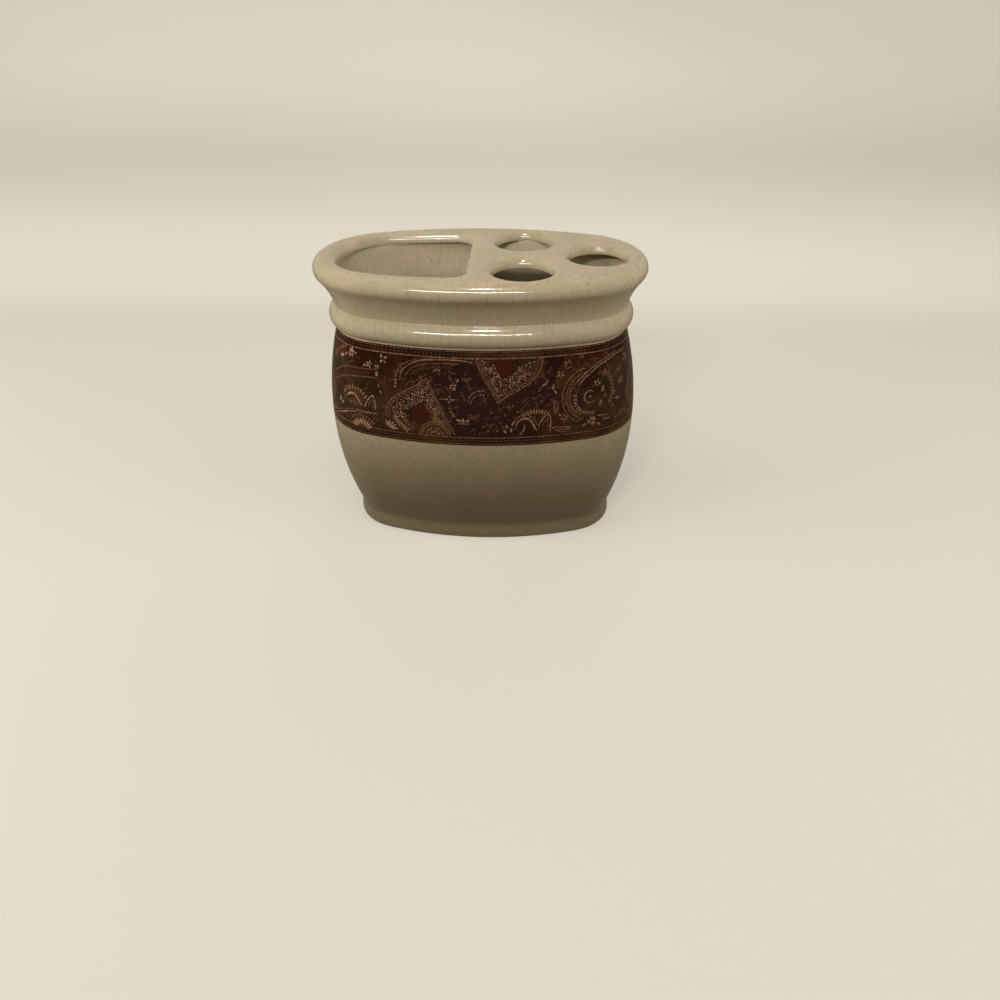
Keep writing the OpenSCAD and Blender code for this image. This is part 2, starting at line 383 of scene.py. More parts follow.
def oval_rings(profile, vertices, travels=COLUMNS):
    """Adds one ring of vertices for each (inset, height) and returns the rings' vertex numbers."""
    return [
        add_points(vertices, [on_oval(travel, inset, height) for travel in travels])
        for inset, height in profile
    ]


def eased(value, low, high):
    """Value carried smoothly from the range low..high to 0..1."""
    share = max(0.0, min(1.0, (value - low) / (high - low)))
    return share * share * (3 - 2 * share)


def rim_inset(x, y):
    """How far a point lies inside the rim oval."""
    angle = atan2(abs(x), SIDE_Y + abs(y))
    if angle < SIDE_ANGLE:
        return SIDE_RADIUS - hypot(x, SIDE_Y + abs(y))
    return END_RADIUS - hypot(abs(x) - END_X, y)


def dent(x, y):
    """How much lower the top lies at a point, for the rounding round the brush holes."""
    drop = 0.0
    for spot in HOLE_SPOTS:
        gap = max(0.0, dist((x, y), spot) - BORE_RADIUS)
        if gap < HOLE_LIP:
            drop = max(drop, HOLE_LIP - sqrt(HOLE_LIP**2 - (HOLE_LIP - gap)**2))
    return drop


def sink(vertices, rings):
    """Lowers what lies at the top of these rings by the rounding round the brush holes."""
    for ring in rings:
        for i in ring:
            if vertices[i].z > TOP - HOLE_LIP:
                vertices[i].z -= dent(vertices[i].x, vertices[i].y)


def make_pot(glaze, clay):
    inner, outer, underside = pot_profile()
    profile = inner + softened(outer) + underside
    vertices = []
    rings = oval_rings(profile, vertices)
    sink(vertices, rings[len(inner):])
    neck = rings[len(inner) - 1 - len(NECK_BY_HOLES):len(inner) - 1]
    for ring, by_holes, by_mouth in zip(neck, NECK_BY_HOLES, NECK_BY_MOUTH):
        for i, travel in zip(ring, COLUMNS):
            share = eased(vertices[i].x, NECK_MOUTH_END, NECK_HOLES_START)
            inset, height = (b + (a - b) * share for a, b in zip(by_holes, by_mouth))
            vertices[i] = on_oval(travel, inset, height)
    slots = []
    for lower, upper in zip(profile, profile[1:]):
        bare = lower[1] < BARE_BELOW and upper[1] < BARE_BELOW
        slots += [1 if bare else 0] * len(COLUMNS)
    ends = bridged(rings[0]) + flipped(bridged(rings[-1]))
    faces = flipped(lofted(rings)) + ends
    pot = make_object("pot_wall", vertices, faces, [glaze, clay], slots + [0] * len(ends))
    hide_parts("body", "foot_ring", "bead_ring", "rim")


# Deck

def arc_border(centre, radius, start, end, count):
    """Border points of an arc with the direction out of the opening at each: (x, y, nx, ny)."""
    return [
        (*at_angle(centre, radius, angle), cos(angle), sin(angle))
        for angle in spaced(start, end, count)[:-1]
    ]


def mouth_border():
    """Outline of the toothpaste opening, anticlockwise from above."""
    corner_x = MOUTH_SIDE_X - MOUTH_CORNER
    corner_y = sqrt((MOUTH_SIDE_RADIUS - MOUTH_CORNER)**2 - corner_x**2) - MOUTH_SIDE_Y
    corner_turn = atan2(corner_y + MOUTH_SIDE_Y, corner_x)
    end_turn = atan2(MOUTH_SIDE_Y, -MOUTH_END_X)
    points = []
    for centre, radius, start, end, count in (
        ((corner_x, corner_y), MOUTH_CORNER, 0, corner_turn, MOUTH_CORNER_STEPS),
        ((0, -MOUTH_SIDE_Y), MOUTH_SIDE_RADIUS, corner_turn, end_turn, MOUTH_SIDE_STEPS),
        ((-MOUTH_END_X, 0), MOUTH_END_RADIUS, end_turn, 2 * pi - end_turn, MOUTH_END_STEPS),
        ((0, MOUTH_SIDE_Y), MOUTH_SIDE_RADIUS, -end_turn, -corner_turn, MOUTH_SIDE_STEPS),
        ((corner_x, -corner_y), MOUTH_CORNER, -corner_turn, 0, MOUTH_CORNER_STEPS),
    ):
        points += arc_border(centre, radius, start, end, count)
    return points + [(MOUTH_SIDE_X, corner_y * share, 1, 0) for share in (-1, -0.5, 0, 0.5)]


def hole_border(spot):
    return arc_border(spot, BORE_RADIUS, 0, 2 * pi, HOLE_STEPS)


def widened(border, reach):
    """The border's points, moved out of the opening by a distance."""
    return [(x + nx * reach, y + ny * reach) for x, y, nx, ny in border]


def lip_profile():
    """Section of the toothpaste opening's edge from the top round and down, as (offset, height)."""
    rounding = [
        (MOUTH_LIP - MOUTH_LIP * sin(turn), TOP - MOUTH_LIP + MOUTH_LIP * cos(turn))
        for turn in spaced(0, pi / 2, MOUTH_LIP_STEPS)
    ]
    return [(MOUTH_LIP + FLAT_RIM, TOP), *rounding, (0, DECK_BOTTOM)]


def mouth_rings(vertices):
    """Rings of the toothpaste opening's edge, rounded wider towards -X where the seam leaves room."""
    rings = []
    for offset, height in lip_profile():
        ring = []
        for x, y, nx, ny in mouth_border():
            room = (rim_inset(x, y) - SEAM_INSET - 2 * FLAT_RIM) / (MOUTH_LIP + FLAT_RIM)
            spread = MOUTH_LIP_SPREAD * eased(-x, MOUTH_SPREAD_START, MOUTH_SPREAD_END)
            reach = offset * min(room, 1 + spread)
            ring.append(Vector((x + nx * reach, y + ny * reach, height)))
        rings.append(add_points(vertices, ring))
    return rings


def hole_rings(spot, vertices):
    """Rings of the steep part of a brush hole's edge, down to the deck's underside."""
    border = hole_border(spot)
    rings = []
    for turn in spaced(0, pi / 2, HOLE_LIP_STEPS):
        ring = widened(border, STEEP_LIP * (1 - sin(turn)))
        rings.append(add_points(vertices, [Vector((x, y, TOP - dent(x, y))) for x, y in ring]))
    bottom = [Vector((x, y, DECK_BOTTOM)) for x, y in widened(border, 0.0)]
    return [*rings, add_points(vertices, bottom)]


def sheet(rings, vertices, upwards, loose=()):
    """Triangles of a sheet with holes through rings and loose points, the first ring its outline."""
    numbers = [i for ring in rings for i in ring] + list(loose)
    at = {number: i for i, number in enumerate(numbers)}
    edges = [(at[a], at[b]) for ring in rings for a, b in zip(ring, ring[1:] + ring[:1])]
    flat = [vertices[i].xy / MM for i in numbers]
    outline, *holes = [[vertices[i].xy / MM for i in ring] for ring in rings]
    points, _, triangles, origins, *_ = delaunay_2d_cdt(flat, edges, [], 0, 1e-5)
    faces = []
    for triangle in triangles:
        middle = sum((points[i] for i in triangle), Vector((0, 0))) / 3
        if not is_within(middle, outline) or any(is_within(middle, hole) for hole in holes):
            continue
        a, b, c = (numbers[origins[i][0]] for i in triangle)
        normal = (vertices[b] - vertices[a]).cross(vertices[c] - vertices[a])
        faces.append((a, b, c) if (normal.z > 0) == upwards else (c, b, a))
    return faces


def crossings(outline, level):
    """Where a closed outline crosses a level, from left to right."""
    found = []
    for (ax, ay), (bx, by) in zip(outline, outline[1:] + outline[:1]):
        if (ay <= level) != (by <= level):
            found.append(ax + (bx - ax) * (level - ay) / (by - ay))
    return sorted(found)


def is_within(point, outline):
    return sum(x > point.x for x in crossings(outline, point.y)) % 2 == 1


def make_deck(glaze):
    edge = [(SEAM_INSET + FLAT_RIM, TOP), (SEAM_INSET, TOP), (SEAM_INSET, DECK_BOTTOM)]
    vertices = []
    outer = oval_rings(edge, vertices)
    sink(vertices, outer[:2])
    openings = [mouth_rings(vertices)] + [hole_rings(spot, vertices) for spot in HOLE_SPOTS]
    faces = flipped(lofted(outer))
    for rings in openings:
        faces += lofted(rings)
    loose = []
    for spot in HOLE_SPOTS:
        for share in HOLE_LIP_SHARES:
            for x, y in widened(hole_border(spot), HOLE_LIP * share):
                if rim_inset(x, y) > SEAM_INSET + 2 * FLAT_RIM:
                    loose += add_points(vertices, [Vector((x, y, TOP - dent(x, y)))])
    tops, bottoms = ([rings[level] for rings in (outer, *openings)] for level in (0, -1))
    faces += sheet(tops, vertices, True, loose) + sheet(bottoms, vertices, False)
    deck = make_object("deck_plate", vertices, faces, [glaze])
    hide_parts("deck")


# Printed band: its ground

BAND_GROUND = 0.06 * MM
BAND_GAP = 0.15 * MM


def make_band(name, start, end, ground):
    """Ground of one half of the print, a thin closed sheet on the wall between two distances."""
    around = [travel + shift for shift in (-4 * QUARTER, 0) for travel in COLUMNS]
    travels = [start, *sorted({travel for travel in around if start < travel < end}), end]
    wall = wall_run(BAND_LOW.z, BAND_HIGH.z)
    levels = [(inset - BAND_GROUND, height) for inset, height in wall]
    levels += [(inset + BAND_GROUND, height) for inset, height in reversed(wall)]
    vertices = []
    rings = oval_rings(levels, vertices, travels)
    faces = lofted(rings + rings[:1], closed=False)
    faces.append(tuple(ring[0] for ring in reversed(rings)))
    faces.append(tuple(ring[-1] for ring in rings))
    band = make_object(name, vertices, faces, [ground])
    return band


# Printed band: its drawing, in millimetres round the pot from the middle and up from the table

AREA_ROW, AREA_PIECE = 0.4, 1.5
LEAF_STEP = 0.6
ARCH_STEP = 0.7
DROP_STEPS = 40
TWIG_WIDTH = 0.2
FLECK_LENGTH, FLECK_SPACING = 1.2, 0.78


def smooth(points, step=0.5):
    """Points every step or so along a smooth curve through the given ones."""
    ends = [points[0], *points, points[-1]]
    made = []
    for a, b, c, d in zip(ends, ends[1:], ends[2:], ends[3:]):
        count = max(1, round(dist(b, c) / step))
        for i in range(count):
            t = i / count
            made.append(tuple(
                0.5 * (
                    2 * q + (r - p) * t + (2 * p - 5 * q + 4 * r - s) * t**2
                    + (3 * q - p - 3 * r + s) * t**3
                )
                for p, q, r, s in zip(a, b, c, d)
            ))
    made.append(tuple(points[-1]))
    return made


def beside(path, distances):
    """The path moved to its left by the distance given for each of its points."""
    moved = []
    for i, (x, y) in enumerate(path):
        before = path[max(i - 1, 0)]
        after = path[min(i + 1, len(path) - 1)]
        dx, dy = after[0] - before[0], after[1] - before[1]
        length = hypot(dx, dy) or 1
        moved.append((x - dy / length * distances[i], y + dx / length * distances[i]))
    return moved


def toward(points, centre, share):
    """The points moved by a share of the way to a centre."""
    return [(x + (centre[0] - x) * share, y + (centre[1] - y) * share) for x, y in points]


def turned(points, centre, angle, size=1.0):
    """Points about the origin turned by an angle in degrees, scaled and carried to the centre."""
    c, s = cos(radians(angle)) * size, sin(radians(angle)) * size
    return [(centre[0] + x * c - y * s, centre[1] + x * s + y * c) for x, y in points]


def heading(start, end):
    """Direction from one point to another, in degrees."""
    return degrees(atan2(end[1] - start[1], end[0] - start[0]))


# What is drawn so far, by ink, as (layer, polygon). CHANCE is seeded, so every run draws the same.
SHAPES = {}
CHANCE = random.Random(7)


def put(ink, layer, polygon):
    SHAPES.setdefault(ink, []).append((layer, polygon))


def strip(lower, upper, ink, layer):
    """Quads between two paths that have the same number of points."""
    for quad in zip(lower, lower[1:], upper[1:], upper):
        put(ink, layer, quad)


def line(points, width, ink, layer=2, ends=1.0, curved=True):
    """Line of a width that narrows to the given share at its two ends."""
    path = smooth(points) if curved else points
    last = len(path) - 1
    swell = [ends + (1 - ends) * sin(pi * i / last) for i in range(last + 1)]
    left, right = (beside(path, [half * size for size in swell]) for half in (width / 2, -width / 2))
    strip(right, left, ink, layer)


def area(outline, ink, layer):
    """Filled outline, cut into short pieces row by row."""
    low = min(y for x, y in outline)
    high = max(y for x, y in outline)
    count = max(1, ceil((high - low) / AREA_ROW))
    # The first and last level lie just inside the outline
    levels = [low + (high - low) * (i + 0.001) / (count + 0.002) for i in range(count + 1)]
    cuts = [crossings(outline, level) for level in levels]
    for y0, y1, lower, upper in zip(levels, levels[1:], cuts, cuts[1:]):
        if len(lower) != len(upper):
            lower = upper = min(lower, upper, key=len)
        for a0, a1, b0, b1 in zip(lower[::2], lower[1::2], upper[::2], upper[1::2]):
            parts = max(1, ceil(max(a1 - a0, b1 - b0) / AREA_PIECE))
            shares = [k / parts for k in range(parts + 1)]
            below = [(a0 + (a1 - a0) * share, y0) for share in shares]
            above = [(b0 + (b1 - b0) * share, y1) for share in shares]
            strip(below, above, ink, layer)


def leaf(centre, length, width, angle, ink, layer=3):
    """Pointed leaf that lies along an angle in degrees."""
    steps = max(3, ceil(length / LEAF_STEP))
    edge = []
    for i in range(steps + 1):
        half = width / 2 * sin(pi * i / steps)**0.8
        edge.append((length * (i / steps - 0.5), half))
    lower = turned([(x, -y) for x, y in edge], centre, angle)
    strip(lower, turned(edge, centre, angle), ink, layer)


def dot(centre, radius, ink, layer=3):
    corners = [at_angle((0, 0), radius, pi * i / 3) for i in range(6)]
    put(ink, layer, tuple(turned(corners, centre, CHANCE.uniform(0, 60))))


def dots(points, spacing, radius, ink, layer=3):
    """Dots at even steps along a curve."""
    for centre in smooth(points, spacing):
        dot(centre, radius, ink, layer)


def blossom(centre, radius, petals, angle, ink, heart):
    """Flower of pointed petals with a dark heart."""
    for i in range(petals):
        turn = angle + 360 * i / petals + CHANCE.uniform(-14, 14)
        middle = turned([(radius * 0.58, 0)], centre, turn)[0]
        size = radius * CHANCE.uniform(0.6, 1.05)
        leaf(middle, size, size * 0.5, turn, ink)
    dot(centre, radius * 0.2, heart, 4)


def twig(points, ink, leaf_length, spacing, sides=(1, -1)):
    """Stem with slanting leaves on both sides, or on one side."""
    line(points, TWIG_WIDTH, ink)
    path = smooth(points, spacing)
    for a, b in zip(path, path[1:]):
        for side in sides:
            lean = heading(a, b) + side * 48
            spot = turned([(leaf_length * 0.55, 0)], b, lean)[0]
            leaf(spot, leaf_length, leaf_length * 0.38, lean, ink)


def flecks(outline, centre, shares):
    """Rows of small slanting flecks, in clusters, along an outline drawn in towards a centre."""
    for row, share in enumerate(shares):
        path = smooth(toward(outline, centre, share), FLECK_SPACING)
        for a, b in zip(path, path[1:]):
            x, y = a
            swing = sin(1.9 * x + 0.7 * y) * sin(1.6 * y - 0.5 * x + row)
            cluster = 0.5 + 0.5 * swing
            if CHANCE.random() > 0.6 + 0.5 * cluster:
                continue
            lean = heading(a, b) + (58 if row % 2 else 122) + CHANCE.uniform(-16, 16)
            spot = (x + CHANCE.uniform(-0.2, 0.2), y + CHANCE.uniform(-0.2, 0.2))
            length = FLECK_LENGTH * CHANCE.uniform(0.7, 1.15)
            width = CHANCE.uniform(0.26, 0.4)
            ink = "pale" if CHANCE.random() < 0.35 + 0.5 * cluster else "tan"
            leaf(spot, length, width, lean, ink)


def edged(sides, centre, gap):
    """Double outline with dots between its two lines. The corners between its sides stay sharp."""
    for side in sides:
        line(side, 0.24, "rose")
        line(toward(side, centre, gap), 0.16, "rose")
        dots(toward(side, centre, gap / 2), 0.85, 0.14, "pale")


def arches(centre, radii, low, high, width, ink, layer=2):
    """Concentric arcs between two angles in degrees."""
    for radius in radii:
        count = max(6, round(radius * radians(high - low) / ARCH_STEP))
        angles = [radians(angle) for angle in spaced(low, high, count)]
        points = [at_angle(centre, radius, angle) for angle in angles]
        line(points, width, ink, layer, curved=False)


def rays(centre, inner, outer, low, high, count, ink, width, layer=3):
    """Leaves that fan out round a centre between two angles in degrees."""
    for i in range(count):
        angle = low + (high - low) * (i + 0.5) / count
        spot = at_angle(centre, (inner + outer) / 2, radians(angle))
        leaf(spot, outer - inner, width, angle, ink, layer)


def boteh(centre, size, angle, curl):
    """Bent drop with an outline, an inner ring of dots and flecks round a small heart."""
    def drop(share):
        points = []
        for t in spaced(0, 2 * pi, DROP_STEPS):
            x = sin(t) * abs(sin(t / 2))**1.3 * 0.78 * share
            y = (cos(t) + 0.3) * share - 0.3
            points.append((x + curl * ((y + 1) / 2)**2, y))
        return turned(points, centre, angle, size)

    area(drop(1.0)[:-1], "umber", 1)
    line(drop(1.0), 0.3, "rose", curved=False)
    line(drop(0.84), 0.2, "rose", curved=False)
    for spot in drop(0.68)[:-1:2]:
        leaf(spot, 0.75, 0.3, CHANCE.uniform(0, 180), "tan")
    for spot in drop(0.5)[:-1:3]:
        dot(spot, 0.2, "rose")
    area(drop(0.36)[:-1], "rust", 1)


# Printed band: its motifs

FIELD_LOW, FIELD_HIGH = 49.1, 77.1
BORDER_SPACING = 1.5
FLECK_COUNT, SPRAY_COUNT = 620, 300
SPRAY_SPACING = 0.62
HALF_PRINT = (QUARTER - BAND_GAP) / MM


def draw_grounds():
    plum_middle = [
        (-15.6, 66.8), (-13, 72.5), (-8, 75), (-1, 75.5), (0.8, 72.5), (3.5, 67), (6.8, 61.2),
        (11, 58), (12, 54), (9.5, 50), (-6.5, 50), (-8.2, 54), (-11, 60), (-15.6, 66.8),
    ]
    plum_right = [
        (10.5, 62.5), (15, 64.8), (19.5, 67.3), (23, 70.5), (24.3, 76.8), (31, 76.8), (27.5, 71),
        (26.2, 65), (26, 59), (21, 61), (15, 60), (10.5, 62.5),
    ]
    umber_left = [
        (-58, 55), (-52, 58.5), (-45, 66), (-36, 67), (-33, 62), (-34.5, 53), (-45, 51), (-58, 49.5),
        (-58, 55),
    ]
    umber_right = [(34, 70), (40, 72), (52, 74), (58, 68), (56, 56), (44, 51), (35, 53), (31, 61), (34, 70)]
    for outline, ink in (
        (plum_middle, "plum"), (plum_right, "plum"), (umber_left, "umber"), (umber_right, "umber"),
    ):
        area(smooth(outline, 1.0)[:-1], ink, 0)


def draw_borders():
    for height, width, ink in (
        (FIELD_HIGH, 0.34, "rose"), (79.2, 0.2, "tan"), (FIELD_LOW, 0.32, "tan"), (46.7, 0.2, "tan"),
    ):
        points = [(x, height) for x in spaced(-HALF_PRINT, HALF_PRINT, round(2 * HALF_PRINT))]
        line(points, width, ink, 3, curved=False)
    count = round(2 * HALF_PRINT / BORDER_SPACING)
    for i in range(count):
        middle = -HALF_PRINT + 2 * HALF_PRINT * (i + 0.5) / count
        leaf((middle, 78.2), 1.1, 0.5, 78, "brown", 2)
        leaf((middle, 47.9), 1.3, 0.6, 20, "brown", 2)


def draw_medallion(left, right, base, layer, centre, gap, shares, core):
    """Medallion between two edges that meet in a point, with rows of flecks and a core."""
    area(smooth(left) + smooth(right)[1:] + base, "umber", layer)
    edged((left, right), centre, gap)
    flecks(left + right[1:], centre, shares)
    area(core, "rust", 4)


def draw_upright_medallion():
    left = [
        (-32.2, 54.6), (-32.7, 56.6), (-31.9, 59), (-30.6, 61), (-28.3, 63), (-25.5, 64.8), (-22.6, 66.4),
        (-19.8, 68.1), (-17.5, 70),
    ]
    right = [(-17.5, 70), (-15.6, 66.2), (-13.4, 62), (-11.9, 58.8), (-10.2, 55.2), (-8.7, 52.4), (-7.7, 50)]
    base = [(-20, 49.4), (-29, 49.8)]
    core = [
        (-23, 56.8), (-22.2, 59.6), (-20.4, 60.4), (-18.2, 60.2), (-17.1, 58.4), (-17.3, 56), (-18.4, 54),
        (-20.6, 53.4), (-22.4, 54.6), (-23, 56.8),
    ]
    shares = (0.2, 0.29, 0.38, 0.47, 0.56)
    draw_medallion(left, right, base, 0, (-20, 56.5), 0.1, shares, smooth(core)[:-1])
    rays((-31.8, 49.8), 0.7, 3.8, 5, 115, 5, "pale", 0.8)
    twig([(-29.8, 55.6), (-27.6, 52.9), (-25, 50.6)], "pale", 1.2, 0.95)
    twig([(-27.4, 57), (-25.3, 53.9), (-23.2, 51.4)], "tan", 1.1, 0.95)


def draw_hanging_medallion():
    left = [(-0.2, 77), (0.6, 74.8), (2.2, 71.6), (4.3, 67.7), (5.8, 64.8), (7.1, 62.1)]
    right = [(7.1, 62.1), (10.4, 64.3), (14.3, 66.4), (18.4, 68.7), (21.2, 71.6), (22.7, 74.6), (23, 77)]
    core = [(6.5, 77), (7.1, 73), (8.9, 70.3), (11.7, 73.1), (12.6, 77)]
    draw_medallion(left, right, [], 1, (9.8, 73.8), 0.12, (0.22, 0.32, 0.42, 0.52, 0.62), core)


def draw_arches():
    centre = (-14.9, 49.2)
    area([at_angle(centre, 5.6, angle) for angle in spaced(0, pi, 16)], "umber", 3)
    arches(centre, (5.4, 4.6), 2, 178, 0.42, "tan", 4)
    arches(centre, (3.1,), 2, 178, 0.34, "rose", 4)
    rays(centre, 0.9, 2.7, 15, 165, 5, "rose", 0.7, 4)
    rays(centre, 3.3, 4.4, 10, 170, 9, "dim", 0.45, 4)


def draw_left_palmette():
    line([(-49.5, 58.9), (-48, 60.4), (-46, 60.8), (-43.9, 59.5), (-42.2, 57)], 1.0, "pale", 2, 0.3)
    line([(-51, 57.6), (-49.6, 60.8), (-46.2, 62), (-43, 60.4), (-41.3, 57.2)], 0.25, "tan")
    rays((-45.6, 56.9), 5.3, 7.3, 30, 150, 10, "ochre", 0.75)
    rays((-46, 56.6), 0.6, 2.8, 10, 170, 6, "tan", 0.6)
    line([(-40.8, 57), (-39.6, 59.6), (-37.6, 61.5), (-36.8, 59.4), (-36.7, 56.8)], 0.42, "pale")
    line([(-39.6, 57.2), (-38.6, 59.2), (-37.8, 60), (-37.5, 57.2)], 0.25, "tan")
    leaf((-53.4, 56.8), 2.6, 1.1, 62, "pale")
    leaf((-51.9, 55.9), 2.0, 0.9, 40, "pale")
    line([(-57.5, 49.9), (-53, 51.6), (-49, 53.2), (-45, 54.3)], 0.36, "pale")
    line([(-58, 50.9), (-53.4, 52.6), (-49.4, 54.1), (-45.6, 55.2)], 0.25, "tan")
    for i in range(7):
        arches((-44.3 + 1.25 * i, 54.5), (0.62,), 0, 180, 0.24, "pale")
    rays((-42.6, 47.4), 2.3, 5.1, 22, 158, 10, "pale", 0.75)
    rays((-42.6, 47.4), 5.3, 6.5, 30, 150, 11, "ochre", 0.45)
    for shift, low, high in ((0, 60, 68.4), (3.4, 63.4, 71.2)):
        line(
            [(-62, low - 1), (-56, low + 3.6), (-50, low + 6.4), (-43, high - 0.8), (-36, high - 0.2)],
            0.28, "tan", 2, 0.5,
        )
    dots([(-58, 62.6), (-53, 66.3), (-47, 68.5), (-39, 69.4)], 1.25, 0.26, "brown", 2)


def draw_left_blossoms():
    leaf((-53.2, 72.9), 3.4, 1.2, 14, "pale")
    leaf((-50.6, 73.9), 1.6, 0.8, 30, "pale")
    blossom((-47.6, 75), 1.9, 6, 12, "pale", "rust")
    leaf((-45.2, 75.2), 1.3, 0.6, 0, "pale")
    blossom((-33.4, 74.9), 1.8, 4, 42, "pale", "umber")
    blossom((-38.7, 72.4), 1.3, 5, 8, "pale", "umber")
    leaf((-40.6, 71.9), 1.4, 0.6, 12, "pale")
    blossom((-35.7, 71.8), 1.0, 5, 0, "pale", "umber")
    leaf((-35.9, 69.5), 2.0, 0.9, 97, "pale")
    leaf((-35.2, 65.6), 1.6, 0.6, 104, "pale")
    leaf((-34.4, 63.4), 1.5, 0.6, 112, "pale")
    for height in (68.4, 67.3, 66.1):
        dot((-28.7 + 0.2 * (height - 67), height), 0.3, "pale")
    twig([(-59, 70.6), (-55.5, 74.6), (-51, 76.4)], "tan", 1.0, 1.1)


def draw_upper_arc():
    line(
        [(-27.2, 69.2), (-26, 72.1), (-23.2, 74.4), (-19, 75.9), (-12, 76.4), (-5, 76.3), (-1.4, 75.6)],
        0.62, "rose", 2, 0.35,
    )
    line([(-28.9, 67), (-28.4, 70.6), (-25.8, 74), (-21, 76.2)], 0.3, "tan")
    line([(-25.3, 70.2), (-23, 72.8), (-19, 74.4), (-13, 75.1), (-6, 75.2)], 0.22, "tan")
    twig([(-23.4, 70.6), (-20.4, 72.8), (-15.5, 74), (-9, 74.1)], "brown", 1.2, 1.3, (-1,))
    line([(-15.2, 72.2), (-13.8, 73.1), (-12.4, 72.5)], 0.32, "rose", 2, 0.4)
    line([(-5.3, 70.5), (-1.9, 70.5)], 0.26, "tan")
    line([(-5, 69.8), (-2.2, 69.8)], 0.2, "tan")


def draw_middle():
    blossom((-9.5, 63.2), 1.7, 4, 0, "rose", "plum")
    line([(-13, 63), (-9.5, 63.2), (-6, 63)], 0.22, "rose")
    blossom((-8.1, 67.6), 1.5, 6, 20, "rose", "plum")
    leaf((-6.7, 69.5), 1.8, 0.6, 62, "rose")
    twig([(-9.3, 61.2), (-9, 59), (-8.2, 57.2)], "tan", 1.0, 0.9)
    for x, turn in ((-6.3, 158), (-4.8, 96), (-3.2, 24)):
        leaf((x, 55.6), 1.9, 1.0, turn, "rose")
    line([(-6.6, 54.4), (-2.8, 54.4)], 0.3, "tan")
    line([(-3, 62.2), (-2.2, 64.6), (-0.6, 66), (0.9, 66.3)], 0.36, "rose", 2, 0.4)
    line([(-2.2, 61.6), (-1.2, 63.9), (0.4, 64.8)], 0.22, "tan")
    blossom((1.8, 65.8), 1.6, 4, 45, "rose", "plum")
    arches((-1.2, 58.6), (2.2, 1.4), 200, 340, 0.24, "tan")
    for x, y in (
        (5, 58.6), (7.8, 59.8), (3.4, 56.2), (6.6, 56.9), (9.6, 57.6), (2.2, 53.4), (5.2, 54.2), (8, 54.8),
        (12.5, 61), (16, 62.4), (19.4, 63.5), (14.2, 58.9), (22.4, 62.2), (18.1, 60.9), (3.8, 51.6), (7, 52),
        (-1.4, 52.2), (0.8, 50.8), (21.6, 65.9), (24.7, 64.2),
    ):
        dot((x, y), 0.3, "rose")
        dot((x + 0.9, y + 0.35), 0.18, "tan")


def draw_right_trail():
    blossom((36.8, 76.2), 1.1, 5, 0, "rose", "umber")
    blossom((32.1, 74), 1.9, 6, 20, "rose", "umber")
    blossom((29.2, 70.8), 1.6, 5, 50, "rose", "umber")
    leaf((26.6, 66.9), 2.2, 0.9, 84, "rose")
    leaf((27.3, 65.2), 1.9, 0.8, 118, "rose")
    leaf((23.4, 67.8), 2.8, 0.9, 28, "rose")
    leaf((24.6, 69), 1.5, 0.6, 50, "rose")
    line([(26.9, 62.4), (28.1, 60.7), (28.2, 58.9), (27.5, 57.5)], 0.28, "rose")
    line([(26.9, 62.4), (26.9, 60.2), (27.5, 57.5)], 0.28, "rose")
    dots([(27.1, 61.4), (27.5, 59.9), (27.5, 58.6)], 0.8, 0.17, "rose")
    blossom((30.7, 55.2), 1.5, 5, 30, "rose", "umber")
    leaf((29, 56.6), 1.3, 0.6, 140, "rose")


def draw_right_boteh():
    centre = (39.6, 62.4)
    arches(centre, (7.2, 8.5, 9.9), 98, 246, 0.28, "tan")
    arches(centre, (7.85,), 104, 240, 0.5, "brown")
    line([(35.6, 66.5), (38, 68.8), (41.4, 71.2), (45.7, 73), (52.9, 74.6), (60, 75)], 0.38, "rose")
    line([(35, 67.5), (37.6, 69.9), (41.2, 72.2), (45.6, 74), (52.8, 75.6)], 0.24, "rose")
    line(
        [(41.8, 60.8), (40.6, 60), (38.9, 60.2), (37.8, 61.6), (38.2, 63.4), (39.9, 64.3), (41.2, 63.6)],
        0.55, "rose", 2, 0.4,
    )
    dot((39.8, 62.1), 0.5, "rose")
    blossom((42.7, 66.5), 1.6, 5, 70, "rose", "umber")
    leaf((45.1, 64.1), 2.5, 1.1, 76, "rose")
    leaf((43.9, 59.2), 2.5, 1.2, 62, "rose")
    leaf((46.2, 61.4), 1.8, 0.7, 100, "tan")
    twig([(34.8, 64), (34.4, 60.8), (35.7, 58), (38, 56.5), (41, 56)], "rose", 1.05, 0.95)
    twig([(47.4, 58), (49.4, 62), (49, 66.6), (46.4, 70)], "tan", 1.2, 1.1)
    leaf((52.1, 59), 2.8, 0.9, -8, "rose")
    leaf((49.4, 57.2), 1.6, 0.8, 74, "rose")
    leaf((50.6, 61.6), 2.0, 0.8, 50, "rose")
    blossom((54.2, 65), 1.7, 6, 0, "rose", "umber")
    leaf((53.2, 69), 2.2, 0.8, 40, "tan")


